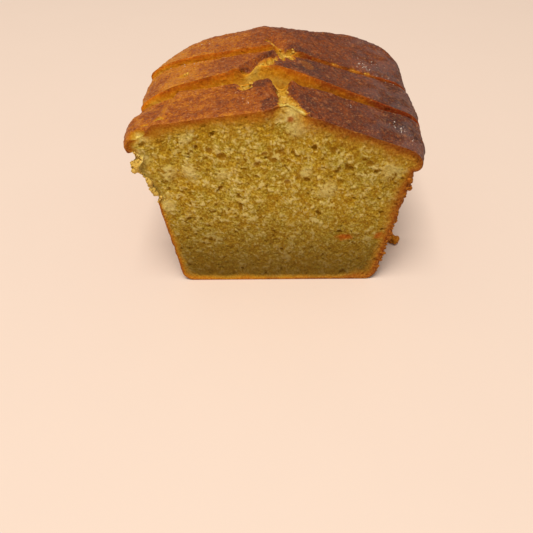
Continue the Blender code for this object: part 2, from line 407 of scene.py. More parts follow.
def crown_height(x, t, name):
    """Two slopes that meet softly at the ridge, with the split's valley, its two rims, the
    crumb's peak at the front cut and the fold in the front slice's crust."""
    shape = SHAPES[name]
    fall_right = mix(shape["fall_right"], t)
    fall_left = mix(shape["fall_left"], t)
    from_ridge = x - mix(shape["ridge_x"], t)
    softened = np.sqrt(from_ridge**2 + RIDGE_SOFTNESS**2) - RIDGE_SOFTNESS
    height = mix(shape["ridge"], t) - 0.5 * (fall_right + fall_left) * softened
    height = height - 0.5 * (fall_right - fall_left) * from_ridge
    off = (x - mix(shape["split_x"], t)) / mix(shape["split_half"], t)
    depth = np.maximum(mix(shape["split_depth"], t), 0.0)
    valley = bell(off)
    height = height + SPLIT_RIM * depth / DEEPEST_SPLIT * bell(np.abs(off) - SPLIT_RIM_PLACE)
    height = height - depth * valley
    if name == "slice_front":
        along = t * (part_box(name)[1].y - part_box(name)[0].y)
        height = height + FRONT_PEAK * bell(along / FRONT_PEAK_REACH) * valley
        off = (mix(FOLD_X, t) - x) / FOLD_WIDTH
        height = height + FOLD_EDGE * bell(off - FOLD_EDGE_PLACE) - FOLD_DROP * smooth_step(off)
    return height


def crown_line(name, t):
    """The crown's points (x, z) from the right lip's tip to the left one, a row for each t.

    The middle follows the crown's height; at each end a quarter ellipse rounds it down."""
    right_cells, middle_cells, left_cells = CELLS[name]["crown"]
    shape = SHAPES[name]
    swell = LIP_SWELL * np.sin(math.pi * t)
    right = mix(shape["lip_right"], t) + swell
    left = mix(shape["lip_left"], t) + swell
    right_turn = np.linspace(0.5 * math.pi, 0.0, right_cells + 1)[:-1]
    left_turn = np.linspace(0.0, 0.5 * math.pi, left_cells + 1)
    middle = np.linspace(0.0, 1.0, middle_cells + 1)[:-1]
    right_x = right - RIGHT_ROUND[0] * (1.0 - np.sin(right_turn))
    left_x = -left + LEFT_ROUND[0] * (1.0 - np.sin(left_turn))
    middle_x = mix((right - RIGHT_ROUND[0], -left + LEFT_ROUND[0]), middle)
    x = np.concatenate((right_x, middle_x, left_x), axis=1)
    drop = np.concatenate((
        RIGHT_ROUND[1] * (1.0 - np.cos(right_turn)),
        np.zeros(middle_cells),
        LEFT_ROUND[1] * (1.0 - np.cos(left_turn)),
    ))
    return x, crown_height(x, t, name) - drop


def side_line(name, t, side, tip_x, tip_z):
    """Points (x, z) up one side (1 right, -1 left): a quarter turn from the floor, the
    leaning wall, and a quarter ellipse under the lip out to its tip."""
    corner_cells, wall_cells, under_cells = CELLS[name]["side"]
    quarter = np.linspace(0.0, 0.5 * math.pi, corner_cells + 1)[:-1]
    rise = np.linspace(0.0, 1.0, wall_cells + 1)[:-1]
    turn = np.linspace(0.0, 0.5 * math.pi, under_cells + 1)
    swell = TORN_SWELL if (name, side) == ("slice_front", -1) else 0.0
    top = tip_z - UNDERSIDE[side]
    wall_z = mix((FLOOR_CORNER, top), rise)
    wall_x = wall_half_width(wall_z)
    faded = smooth_step((top - wall_z) / TORN_FADE)
    wall_x = wall_x + swell * bell((wall_z - TORN_HEIGHT) / TORN_REACH) * faded
    foot = wall_half_width(FLOOR_CORNER)
    corner_x = foot - FLOOR_CORNER * (1.0 - np.sin(quarter)) + 0.0 * t
    corner_z = FLOOR_CORNER * (1.0 - np.cos(quarter)) + 0.0 * t
    root = wall_half_width(top)
    under_x = root + (np.abs(tip_x) - root) * np.sin(turn)
    under_z = tip_z - UNDERSIDE[side] * np.cos(turn)
    x = np.concatenate((corner_x, wall_x, under_x), axis=1)
    z = np.concatenate((corner_z, wall_z, under_z), axis=1)
    return side * x, z


def to_points(name, x, along, z, t):
    """Points in the part's frame: a cut leans by its own amount at crown height."""
    lean = mix(SHAPES[name]["lean"], t)
    y = cad_low.y + along + lean * z / CROWN_LEVEL
    return np.stack((x + TIN_AXIS_X, y + 0.0 * x, z), axis=-1)


def outline_lines(name, t):
    """The right side, crown and left side of the piece, as (x, z) rows for each t."""
    crown = crown_line(name, t)
    right = side_line(name, t, 1, crown[0][:, :1], crown[1][:, :1])
    left = side_line(name, t, -1, crown[0][:, -1:], crown[1][:, -1:])
    return right, crown, left


# --- skins ---------------------------------------------------------------------------


def grid_quads(rows, columns, first):
    """Four-sided faces of a grid of points that are numbered row by row from first."""
    a = first + np.arange((rows - 1) * columns).reshape(rows - 1, columns)[:, :-1].ravel()
    return np.stack((a, a + columns, a + columns + 1, a + 1), axis=1)


def spanned_grid(bottom, top, right, left, across, up):
    """A grid that fills four edges: the two blends between facing edges, added, less the
    blend of the four corners. Rows go up and columns go from right to left."""
    s = across[None, :, None]
    w = up[:, None, None]
    between_rows = (1.0 - w) * bottom[None] + w * top[None]
    between_sides = (1.0 - s) * right[:, None] + s * left[:, None]
    low_corners = (1.0 - s) * bottom[0] + s * bottom[-1]
    high_corners = (1.0 - s) * top[0] + s * top[-1]
    grid = between_rows + between_sides - (1.0 - w) * low_corners - w * high_corners
    grid[-1] = top
    grid[:, 0] = right
    grid[:, -1] = left
    return grid


class Skin:
    """Grids of points that are welded into one closed skin, with values on each point."""

    def __init__(self):
        self.points = []
        self.quads = []
        self.caps = []
        self.values = []
        self.count = 0

    def add(self, grid, outward_flip, **values):
        """Take in a grid of points (rows, columns, 3) with its values; return its numbers."""
        rows, columns = grid.shape[:2]
        quads = grid_quads(rows, columns, self.count)
        self.quads.append(quads[:, ::-1] if outward_flip else quads)
        self.points.append(grid.reshape(-1, 3))
        spread = [np.broadcast_to(values[key], (rows, columns)).ravel() for key in VALUE_NAMES]
        self.values.append(np.stack(spread, axis=1))
        numbers = self.count + np.arange(rows * columns).reshape(rows, columns)
        self.count += rows * columns
        return numbers

    def weld(self):
        """Merge points that coincide, and drop the faces that this leaves without area."""
        points = np.concatenate(self.points)
        values = np.concatenate(self.values)
        keys = np.round(points / WELD_DISTANCE).astype(np.int64)
        _, first, new = np.unique(keys, axis=0, return_index=True, return_inverse=True)
        order = np.argsort(np.argsort(first))
        new = order[new.ravel()]
        first = np.sort(first)
        quads = new[np.concatenate(self.quads)]
        same = quads == np.roll(quads, -1, axis=1)
        whole = quads[same.sum(axis=1) == 0]
        pinched = same.sum(axis=1) == 1
        corners = ~same[pinched]
        triangles = quads[pinched][corners].reshape(-1, 3)
        caps = []
        for cap in self.caps:
            loop = new[cap]
            caps.append(loop[loop != np.roll(loop, 1)])
        self.points = points[first]
        self.values = dict(zip(VALUE_NAMES, values[first].T))
        self.quads = whole
        self.triangles = triangles
        self.caps = caps

    def normals(self):
        """Outward unit directions on the points: the sum of the faces' own, by area."""
        total = np.zeros_like(self.points)
        for faces in (self.quads, self.triangles):
            corner = self.points[faces]
            if faces.shape[1] == 4:
                direction = np.cross(corner[:, 2] - corner[:, 0], corner[:, 3] - corner[:, 1])
            else:
                direction = np.cross(corner[:, 1] - corner[:, 0], corner[:, 2] - corner[:, 0])
            for k in range(faces.shape[1]):
                np.add.at(total, faces[:, k], direction)
        length = np.linalg.norm(total, axis=1, keepdims=True)
        return total / np.maximum(length, 1e-12)

    def spread_out(self, values, rounds):
        """Average each point's value with its neighbours', as many times over as asked."""
        loops = (self.quads, self.triangles)
        edges = [np.stack((faces, np.roll(faces, -1, axis=1)), axis=2) for faces in loops]
        ends = np.concatenate([pairs.reshape(-1, 2) for pairs in edges])
        count = len(values)
        weight = 1.0 + np.bincount(ends[:, 0], minlength=count)
        columns = values.reshape(count, -1)
        for _ in range(rounds):
            near = [np.bincount(ends[:, 0], column[ends[:, 1]], count) for column in columns.T]
            columns = (columns + np.stack(near, axis=1)) / weight[:, None]
        return columns.reshape(values.shape)

    def soft_normals(self):
        """Outward directions averaged with their neighbours', so that edges are rounded off."""
        direction = self.spread_out(self.normals(), EDGE_ROUNDS)
        return direction / np.maximum(np.linalg.norm(direction, axis=1, keepdims=True), 1e-12)


# What a skin knows of each point: the share of the way through its piece, whether it lies
# on a cut, on a wall, how far behind the crust in crust thicknesses, and how near a torn edge
VALUE_NAMES = ("t", "cut", "wall", "inner", "torn")
WELD_DISTANCE = 2e-6


def wall_share(name):
    """1 on a side's wall, easing to 0 under its lip."""
    corner_cells, wall_cells, under_cells = CELLS[name]["side"]
    under = np.linspace(1.0, 0.0, under_cells + 1)
    return np.concatenate((np.ones(corner_cells + wall_cells), under))


def add_shell(skin, name, blocks, t):
    """Put the right side, crown and left side into the skin; return their numbers."""
    wall = wall_share(name)
    parts = zip(blocks, (False, False, True), (wall, 0.0, wall))
    return [
        skin.add(block, flip, t=t, cut=0.0, wall=on_wall, inner=0.0, torn=0.0)
        for block, flip, on_wall in parts
    ]


def crust_thickness(points):
    """How thick the browned layer is behind each point of an outline: most on the crown."""
    x, _, z = points.T
    wall = mix((THIN_CRUST, RIGHT_CRUST), ease(x, *CRUST_RIGHT))
    crown = mix((CROWN_CRUST, LEFT_LIP_CRUST), ease(x, *CRUST_LEFT_LIP))
    return mix((wall, crown), ease(z, *CRUST_ABOVE))


def inside_crust(points, edge, name, t):
    """How many crust thicknesses each point of a cut lies behind its nearest crust, and
    how near it is to an edge whose crust is torn away, where crumb reaches the outside."""
    thickness = crust_thickness(edge)
    along = edge[:, 1] - cad_low.y
    bare = bareness(edge, np.full(len(edge), t), name, along)
    inner = np.empty(len(points))
    torn = np.empty(len(points))
    for start in range(0, len(points), CHUNK):
        part = slice(start, start + CHUNK)
        away = np.linalg.norm(points[part, None, :] - edge[None], axis=2)
        inner[part] = np.min(away / thickness + 2.2 * bare, axis=1)
        torn[part] = np.max(bare * bell(away / TORN_ROUNDING), axis=1)
    return inner, torn


def add_cut(skin, grid, outward_flip, edge, name, t):
    """Put a cut's grid of points into the skin, with its values; return its numbers."""
    values = inside_crust(grid.reshape(-1, 3), edge, name, t)
    inner, torn = (value.reshape(grid.shape[:2]) for value in values)
    return skin.add(grid, outward_flip, t=t, cut=1.0, wall=0.0, inner=inner, torn=torn)


def add_open_face(skin, name, blocks, station, t):
    """Fill a cut that shows with a fine grid between its four edges."""
    right, crown, left = (block[station] for block in blocks)
    across = np.linspace(0.0, 1.0, crown.shape[0])
    bottom = right[0] + (left[0] - right[0]) * across[:, None]
    up = np.linspace(0.0, 1.0, right.shape[0])
    grid = spanned_grid(bottom, crown, right, left, across, up)
    edge = np.concatenate((right, crown, left[::-1], bottom[::-4]))
    return add_cut(skin, grid, False, edge, name, t)[0]


def add_hidden_face(skin, name, blocks, station, t):
    """Fill a cut that only shows near its edge: rings drawn in from the edge, then a cap."""
    right, crown, left = (block[station] for block in blocks)
    across = np.linspace(0.0, 1.0, FLOOR_CELLS + 1)[:, None]
    bottom = left[0] + (right[0] - left[0]) * across
    edge = np.concatenate((right, crown, left[::-1], bottom))
    centre = np.array((TIN_AXIS_X, 0.0, 0.5 * CROWN_LEVEL))
    toward = centre - edge
    toward[:, 1] = 0.0
    toward /= np.linalg.norm(toward, axis=1, keepdims=True)
    insets = np.concatenate(([0.0], INSETS))
    rings = edge[None] + toward[None] * insets[:, None, None]
    lean = mix(SHAPES[name]["lean"], t)
    rings[..., 1] += lean * (rings[..., 2] - edge[None, :, 2]) / CROWN_LEVEL
    numbers = add_cut(skin, rings, t < 0.5, edge, name, t)
    last = numbers[-1]
    skin.caps.append(last if t < 0.5 else last[::-1])
    return numbers[0, -FLOOR_CELLS - 1 :]


def slice_skin(name, open_front):
    """A slice: the shell from cut to cut, its two cut faces and its flat underside.

    Its stations crowd together toward both cuts."""
    low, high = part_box(name)
    share = np.linspace(0.0, 1.0, CELLS[name]["along"] + 1)[:, None]
    t = share - CROWDING * np.sin(2.0 * math.pi * share)
    along = low.y - cad_low.y + (high.y - low.y) * t
    blocks = [to_points(name, x, along, z, t) for x, z in outline_lines(name, t)]
    skin = Skin()
    right, _, left = add_shell(skin, name, blocks, t)
    if open_front:
        near_floor = add_open_face(skin, name, blocks, 0, 0.0)[::-1]
    else:
        near_floor = add_hidden_face(skin, name, blocks, 0, 0.0)
    far_floor = add_hidden_face(skin, name, blocks, -1, 1.0)
    floor = np.concatenate((near_floor, right[:, 0], far_floor[::-1], left[::-1, 0]))
    skin.caps.append(floor[::-1])
    skin.weld()
    return skin


def end_wall_along(height, lip_height, length):
    """Where the far wall stands: it leans like the tin, blends out to its lip above, and
    turns in by a quarter circle at the floor."""
    wall = length - END_LIP_HANG - END_WALL_LEAN * (1.0 - height / RIM_HEIGHT)
    lip = smooth_step((height - lip_height + END_LIP_REACH) / END_LIP_REACH)
    below = np.clip(1.0 - height / END_ROUND_FLOOR, 0.0, 1.0)
    turn_in = END_ROUND_FLOOR * (1.0 - np.sqrt(1.0 - below**2))
    return wall + (length - wall) * lip - turn_in


def end_skin(name):
    """The uncut end: the shell turns round the far corners by quarter ellipses into the
    far wall, which is a grid between the turned edges."""
    low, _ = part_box(name)
    length = cad_high.y - cad_low.y
    start = low.y - cad_low.y
    body = np.linspace(0.0, 1.0, CELLS[name]["along"] + 1)
    body = 0.6 * body + 0.4 * body**2
    turn = np.linspace(0.0, 0.5 * math.pi, CELLS[name]["turn"] + 1)[1:]
    going = np.concatenate((body, np.ones(len(turn))))[:, None]
    reach = np.concatenate((np.zeros(len(body)), np.sin(turn)))[:, None]
    closing = np.concatenate((np.ones(len(body)), np.cos(turn)))[:, None]
    station = start + (END_BODY - start) * going + (length - END_BODY) * reach
    t = (station - start) / (length - start)
    last = outline_lines(name, np.ones((1, 1)))
    turning = outline_lines(name, np.full((1, 1), (END_BODY - start) / (length - start)))
    every_x = np.concatenate([x.ravel() for x, _ in last])
    inner_x = (every_x.min() + END_ROUND_LEFT, every_x.max() - END_ROUND_RIGHT)
    lips = (last[2][1][0, -1], last[0][1][0, -1])
    blocks = []
    for (x, z), (end_x, end_z), (turn_x, turn_z) in zip(outline_lines(name, t), last, turning):
        core_x = np.clip(end_x, *inner_x)
        level = np.interp(core_x, inner_x, lips)
        core_z = np.minimum(end_z, level)
        far = end_wall_along(core_z, level, length)
        above = np.where(end_z > level, END_CROWN_STRETCH, 1.0) * (turn_z - core_z)
        turn_start = far - np.hypot(turn_x - core_x, above)
        along = start + (turn_start - start) * going + (far - turn_start) * reach
        x = core_x + (x - core_x) * closing
        z = core_z + (z - core_z) * closing
        blocks.append(to_points(name, x, along, z, t))
    skin = Skin()
    right, _, left = add_shell(skin, name, blocks, t)
    near_floor = add_hidden_face(skin, name, blocks, 0, 0.0)
    last_right, last_crown, last_left = (block[-1] for block in blocks)
    bottom = last_crown.copy()
    bottom[:, 2] = 0.0
    across = (bottom[:, 0] - bottom[0, 0]) / (bottom[-1, 0] - bottom[0, 0])
    up = last_right[:, 2] / last_right[-1, 2]
    grid = spanned_grid(bottom, last_crown, last_right, last_left, across, up)
    level = np.interp(grid[..., 0] - TIN_AXIS_X, inner_x, lips)
    grid[:-1, 1:-1, 1] = (cad_low.y + end_wall_along(grid[..., 2], level, length))[:-1, 1:-1]
    far_floor = skin.add(grid, True, t=1.0, cut=0.0, wall=1.0, inner=0.0, torn=0.0)[0]
    floor = np.concatenate((near_floor, right[:, 0], far_floor, left[::-1, 0]))
    skin.caps.append(floor[::-1])
    skin.weld()
    return skin


# --- fields over a skin --------------------------------------------------------------


def patches(points, along, spots, ragged):
    """The strongest of some oval patches at each point, with edges made ragged by noise."""
    strongest = np.zeros(len(points))
    x = points[:, 0]
    for spot in spots:
        centre_x, centre_along, half_x, half_along = (value * MM for value in spot[:4])
        strength = spot[4] if len(spot) > 4 else 1.0
        off = np.hypot((x - centre_x) / half_x, (along - centre_along) / half_along) + ragged
        strongest = np.maximum(strongest, strength * smooth_step((PATCH_REACH - off) / PATCH_SOFTNESS))
    return strongest


def bareness(points, t, name, along):
    """1 where the crust is torn away: the listed patches on top, and most of the front
    slice's left wall, where the tin pulled the crust off."""
    x, _, z = points.T
    ragged = 0.28 * cloudy(points, 2.6 * MM, 11)
    on_top = ease(z, *TOP)
    bare = on_top * patches(points, along, TORN[name], ragged)
    if name == "slice_front":
        left = ease(x, *PULLED_LEFT) * (1.0 - on_top)
        pulled = ease(z, *PULLED_ABOVE) * (1.0 - ease(z, *PULLED_BELOW))
        faded = 1.0 - smooth_step((t - 0.25) / 0.6)
        uneven = ragged + 0.30 * cloudy(points, 8.0 * MM, 15, 2)
        bare = np.maximum(bare, left * smooth_step((1.9 * pulled * faded - 0.45 + uneven) / 0.8))
    return bare


def browning(points, along, wall, rim, name):
    """From 0, golden, to 1, dark: the right side is browner than the left, and so are the
    ends of the crust's lobes and the lips; the left side is paler along its cuts."""
    x, _, z = points.T
    right = ease(x, *BROWN_RIGHT)
    brown = 0.32 + 0.34 * right + 0.10 * ease(x, *BROWN_RIGHT_LIP)
    brown -= 0.08 * ease(x, *PALE_LEFT_LIP)
    brown -= 0.05 * ease(along, *UNCUT_END)
    brown -= 0.16 * ease(along, *BEHIND_FRONT_SLICE) * ease(x, *PALE_LEFT)
    brown += 0.10 * bell((x + 4.0 * MM) / (14.0 * MM)) * ease(along, *UNCUT_MIDDLE)
    brown += patches(points, along, SCORCHED[name], 0.35 * cloudy(points, 4.0 * MM, 21))
    brown += 0.09 * cloudy(points, 13.0 * MM, 31) + mix((0.10, 0.05), right) * cloudy(points, 4.5 * MM, 35)
    brown -= rim * mix((0.10, 0.02), right)
    wall_brown = 0.26 + 0.12 * cloudy(points, 11.0 * MM, 41) + 0.05 * cloudy(points, 2.4 * MM, 45)
    wall_brown += 0.12 * ease(x, *STUCK_RIGHT)
    wall_brown += 0.16 * ease(z, *BROWN_FOOT)
    return np.clip(mix((brown, wall_brown), wall), 0.0, 1.0)


def crumb_fields(points):
    """Height of open crumb below its outermost grain, how pale it is and how deep.

    Grains of two sizes, bent out of shape, stand up by their own amounts on slow clouds,
    with small and large holes between. What stands up is pale, painted light on the raised grain,
    and what lies deep is amber, painted shade in the holes and hollows."""
    bends = np.stack([soft_noise(points, 1.9 * MM, 55 + k) for k in range(3)], axis=1)
    bent = points + 1.0 * MM * bends
    grain, tag = grains(bent, 2.3 * MM, 51)
    fine, fine_tag = grains(bent, 1.15 * MM, 61)
    small = bubbles(bent, 2.1 * MM, (0.35 * MM, 0.9 * MM), 0.50, 71) / MM
    large = bubbles(bent, 5.0 * MM, (0.7 * MM, 1.6 * MM), 0.50, 81) / MM
    holes = np.maximum(small, large)
    tone = 0.32 * (2.0 * tag - 1.0) * smooth_step(1.25 - 1.1 * grain)
    tone += 0.50 * (2.0 * fine_tag - 1.0) * smooth_step(1.3 - 1.1 * fine)
    tone += 0.20 * cloudy(points, 5.0 * MM, 91, 3, 0.8)
    height = 0.36 * tone + 0.42 * (0.6 - fine) + 0.22 * (0.6 - grain) - 0.8 * holes
    pale = smooth_step((tone - 0.02) / 0.6) * (1.0 - smooth_step(holes / 0.5))
    pit_shade = np.maximum(smooth_step((-0.05 - tone) / 0.7), smooth_step(holes / 0.9))
    return (height - 0.9) * MM, pale, pit_shade


def face_marks(points):
    """What stands out in the front cut: big holes, amber stains and pale lumps."""
    x, _, z = points.T
    ragged = 1.0 + 0.35 * soft_noise(points, 1.6 * MM, 101)
    hole = np.zeros(len(points))
    for centre_x, centre_z, radius in HOLES:
        off = np.hypot(x - centre_x * MM, 1.2 * (z - centre_z * MM)) * ragged
        hole = np.maximum(hole, np.sqrt(np.maximum((radius * MM) ** 2 - off**2, 0.0)))
    stain = np.zeros(len(points))
    for centre_x, centre_z, half_x, half_z in STAINS:
        off = np.hypot((x / MM - centre_x) / half_x, (z / MM - centre_z) / half_z) * ragged
        stain = np.maximum(stain, smooth_step(1.4 - off))
    lump = np.zeros(len(points))
    for centre_x, centre_z, radius in PALE_LUMPS:
        off = np.hypot(x / MM - centre_x, z / MM - centre_z) / radius * ragged
        lump = np.maximum(lump, smooth_step(1.3 - off))
    return hole, stain, lump


def crown_relief(points):
    """Height of the crown's crust, and how deep and how raised each point is from 0 to 1:
    slow swells, wrinkles, small blisters and pits."""
    height = 0.40 * cloudy(points, 9.0 * MM, 111, 2) + 0.20 * cloudy(points, 2.4 * MM, 115, 3, 0.8)
    blister, tag = grains(points, 3.4 * MM, 121)
    raised = smooth_step((tag - 0.60) / 0.15) * smooth_step((0.42 - blister) / 0.3)
    pits = bubbles(points, 2.0 * MM, (0.2 * MM, 0.75 * MM), 0.5, 125)
    return (height + 0.26 * raised) * MM - 0.7 * pits, smooth_step(pits / (0.5 * MM)), raised


def wall_relief(points):
    """Height of a wall's crust: lumps between pits, rougher on the right side."""
    x, _, z = points.T
    lumps, tag = grains(points, 4.4 * MM, 131)
    coarse = 1.5 * (0.5 - lumps) * (0.4 + tag) + 0.35 * cloudy(points, 1.9 * MM, 135)
    deep = bubbles(points, 4.0 * MM, (0.4 * MM, 1.3 * MM), 0.40, 141)
    stuck = ease(x, *STUCK_RIGHT) * ease(z, *STUCK_ABOVE)
    return (coarse * MM - deep) * mix((0.45, 1.0), stuck)


def near_cuts(skin, name, along):
    """1 at the edges of a piece's cuts, easing to 0 a few millimetres away on its shell."""
    low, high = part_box(name)
    lean = mix(SHAPES[name]["lean"], skin.values["t"]) * skin.points[:, 2] / CROWN_LEVEL
    from_near = along - lean - (low.y - cad_low.y)
    from_far = (high.y - cad_low.y) - along + lean
    if name == "loaf_end":
        from_far = np.ones_like(from_near)
    return bell(np.minimum(from_near, from_far) / RIM_REACH)


def find_areas(skin, name, along):
    """How much each point is on a cut, a wall, the shell, a cut's rim, bare, torn, torn wall,
    the front split's wedge or a closed cut, and how far behind the crust it lies."""
    points = skin.points
    t, cut, wall = (skin.values[key] for key in ("t", "cut", "wall"))
    shell = 1.0 - cut
    rim = near_cuts(skin, name, along) * shell
    chips = bubbles(points, 2.8 * MM, (0.4 * MM, 1.3 * MM), 0.5, 161) * rim
    bare = bareness(points, t, name, along) * shell
    bare = np.maximum(bare, smooth_step(chips / MM - 0.35) * (1.0 - wall) * CHIP_BARENESS)
    wavy = 1.0 + 0.28 * cloudy(points, 9.0 * MM, 45, 2)
    front_split = ease(along, *FRONT_SPLIT)
    behind_bare = bare * (1.1 + 0.8 * np.maximum(wall, front_split))
    return SimpleNamespace(
        cut=cut,
        wall=wall,
        shell=shell,
        rim=rim,
        chips=chips,
        bare=bare,
        torn=np.maximum(skin.values["torn"], bare * rim),
        torn_wall=bare * wall,
        front_split=front_split,
        wedge=bare * front_split * (1.0 - wall) * shell,
        closed=cut * (t > 0.5) if name == "slice_front" else cut,
        inner=np.where(cut > 0.5, skin.values["inner"] * wavy, behind_bare),
    )


def crumb_surface(points, along, area, name):
    """Height of the crumb, and how pale, deep and stained it is: open grain with the front
    cut's marks, tufts on the torn wall, rounded torn edges and calmer closed cuts."""
    height, pale, pit_shade = crumb_fields(points)
    stain = np.zeros(len(points))
    if name == "slice_front":
        hole, stain, lump = (mark * area.cut for mark in face_marks(points))
        height = np.minimum(height, -FRONT_CUT_DEPTH - 0.5 * hole) + 0.35 * MM * lump * (hole == 0.0)
        # The front cut's big holes get painted shade too
        pit_shade = np.maximum(pit_shade, np.clip(hole / (0.8 * MM), 0.0, 1.0))
        pale = np.maximum(pale, lump * (1.0 - pit_shade) * 0.7)
    off_wall = 1.0 - area.wall
    height = height * (1.0 + 0.5 * area.torn_wall - 0.5 * area.wedge) - TORN_DEPTH * area.bare * off_wall
    tufts = bell((points[:, 2] - TUFT_HEIGHT) / TUFT_REACH)
    swell = 0.9 * MM + TUFT_SIZE * tufts + 1.5 * MM * cloudy(points, 4.5 * MM, 151)
    height += area.torn_wall * swell
    height -= TORN_EDGE_DEPTH * area.torn * off_wall
    height -= TORN_FRONT_DEPTH * area.torn_wall * bell(along / TORN_ROUNDING)
    return mix((height, 0.5 * height + 0.50 * MM), area.closed), pale, pit_shade, stain


def crust_surface(points, along, area, name):
    """Height of the crust, and how deep and how raised it is: the crown's and the walls',
    chipped and worn at the cuts' rims, with a knob on the front slice's left lip."""
    crown, pit_shade, raised = crown_relief(points)
    height = mix((crown - 0.4 * MM, wall_relief(points)), area.wall)
    height -= RIM_DEPTH * area.rim * (1.0 - area.wall) + area.chips
    if name == "slice_front":
        off = np.hypot((points[:, 0] - KNOB_X) / KNOB_RADIUS, (points[:, 2] - KNOB_Z) / KNOB_RADIUS)
        height += KNOB_SIZE * bell(off) * ease(along, *KNOB_FRONT)
    return height, pit_shade, raised


def press(skin, height, area):
    """Move the skin's points by their heights along soft normals, less and less toward the
    foot, and relax torn edges, so that a pressed-in corner doesn't fold."""
    foot = ease(skin.points[:, 2], *FOOT)
    moved = skin.points + skin.soft_normals() * (height * foot)[:, None]
    relaxed = smooth_step(1.8 * area.torn) * (1.0 - area.wall) * mix((0.7, 1.0), area.front_split) * foot
    relaxed = skin.spread_out(relaxed, SEAM_ROUNDS)[:, None]
    moved = mix((moved, skin.spread_out(moved, TORN_ROUNDS)), relaxed)
    skin.points = np.clip(moved, np.array(cad_low), np.array(cad_high))


def shape_skin(skin, name):
    """Work the fields out, press the skin in or out by them, and keep them as values."""
    points = skin.points
    x, _, z = points.T
    along = points[:, 1] - cad_low.y
    area = find_areas(skin, name, along)
    crumb_height, pale, pit_shade, stain = crumb_surface(points, along, area, name)
    crust_height, crown_pit, raised = crust_surface(points, along, area, name)
    opened = smooth_step(2.0 * area.bare - 0.5)
    browned_height = 0.5 * crumb_height - 0.10 * MM
    on_cut = mix((browned_height, crumb_height), smooth_step((area.inner - 0.1) / 0.6))
    on_shell = mix((crust_height, crumb_height), opened)
    height = mix((on_shell, on_cut), area.cut)
    height = np.where(area.closed > 0.5, np.minimum(height, CLOSED_CUT_LIMIT), height)
    seam = skin.spread_out(area.cut, SEAM_ROUNDS)
    height = mix((height, skin.spread_out(height, SEAM_ROUNDS)), 4.0 * seam * (1.0 - seam))
    press(skin, height, area)
    on_crust = area.shell * (1.0 - opened) * (1.0 - area.wall)
    torn_cut = area.torn * area.cut
    # On the torn wall the holes keep less painted shade, which paints light there; crust takes its own
    # pits' painted shade
    pit_shade = mix((pit_shade * (1.0 - 0.7 * area.torn_wall), crown_pit), on_crust)
    # Crumb on the torn wall and at torn edges of cuts is made paler: painted light; the front split's
    # wedge is paler too
    pale = np.maximum.reduce((pale, 0.3 * area.torn_wall, 0.25 * area.wedge, 0.35 * torn_cut))
    # A grey bloom on the crown's right side: dried sugar, partly painted sheen
    frost_and_sheen = ease(x, *FROST_AND_SHEEN_RIGHT) * smooth_step(0.5 + 1.4 * cloudy(points, 6.0 * MM, 171))
    skin.values = {
        "cut": area.cut,
        "inner": np.clip(area.inner, 0.0, 2.0),
        "brown": browning(points, along, area.wall, area.rim, name),
        # Holes keep less painted shade at torn edges of cuts, which is painted light, and on the front
        # split's wedge
        "pit_shade": pit_shade * (1.0 - 0.7 * np.maximum(area.wedge, torn_cut)),
        # On crust, pale marks the raised blisters, which get a painted highlight
        "pale": mix((pale, raised), on_crust),
        "stain": stain,
        "wall": area.wall,
        # low: painted shade on the front cut, darker toward the bottom and a little toward the right
        "low": area.cut * np.maximum(ease(z, *PAINTED_SHADE_BELOW), 0.25 * ease(x, *PAINTED_SHADE_RIGHT)),
        "frost_and_sheen": frost_and_sheen * area.shell * (1.0 - area.wall),
        # sunk: closed cuts, whose crumb and browned layer are painted brighter gold, painted light for the
        # shaded grooves; less near torn edges
        "sunk": area.closed * (1.0 - 0.6 * smooth_step(area.torn / 0.6)),
    }


# --- crumbs and sugar ----------------------------------------------------------------


def blobs(centres, radii, stretch, rng, subdivisions):
    """Uneven round lumps: a ball, stretched and turned at random and dented by noise."""
    ball = bmesh.new()
    bmesh.ops.create_icosphere(ball, subdivisions=subdivisions, radius=1.0)
    points = np.array([vertex.co for vertex in ball.verts])
    faces = np.array([[vertex.index for vertex in face.verts] for face in ball.faces])
    ball.free()
    count = len(centres)
    turns, _ = np.linalg.qr(rng.normal(size=(count, 3, 3)))
    turns *= np.linalg.det(turns)[:, None, None]
    sizes = rng.uniform(*stretch, size=(count, 1, 3)) * radii[:, None, None]
    shifts = rng.uniform(0.0, 40.0, size=(count, 1, 3))
    dents = cloudy((points[None] + shifts).reshape(-1, 3), 0.9, 201, 3, 0.7).reshape(count, -1, 1)
    placed = (points[None] * (1.0 + 0.42 * dents) * sizes) @ turns + centres[:, None]
    numbered = faces[None] + len(points) * np.arange(count)[:, None, None]
    return placed.reshape(-1, 3), numbered.reshape(-1, 3)


def add_piece(name, points, faces, material, values=None):
    """Make a mesh that rides on the body; with values it is smooth, without them faceted."""
    mesh = bpy.data.meshes.new(name)
    mesh.from_pydata(points.tolist(), [], faces)
    if values:
        for key, value in values.items():
            attribute = mesh.attributes.new(key, "FLOAT", "POINT")
            attribute.data.foreach_set("value", np.full(len(points), value, np.float32))
        mesh.shade_smooth()
    mesh.materials.append(material)
    piece = bpy.data.objects.new(name, mesh)
    bpy.context.scene.collection.objects.link(piece)
    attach(piece, "root")
    return piece


def clinging(skin, weight, count, radii, raised, stretch, rng):
    """Lumps on some of a skin's points, picked at random by weight; small ones are the
    commonest, and each is raised by a share of its radius."""
    picked = rng.choice(len(weight), size=count, p=weight / weight.sum())
    size = mix(radii, rng.random(count) ** 2)
    places = skin.points[picked] + skin.normals()[picked] * size[:, None] * raised
    return blobs(places, size, stretch, rng, 2)


def between(value, low, high):
    """Whether a value lies between two others, in mm."""
    return (value > low * MM) * (value < high * MM)


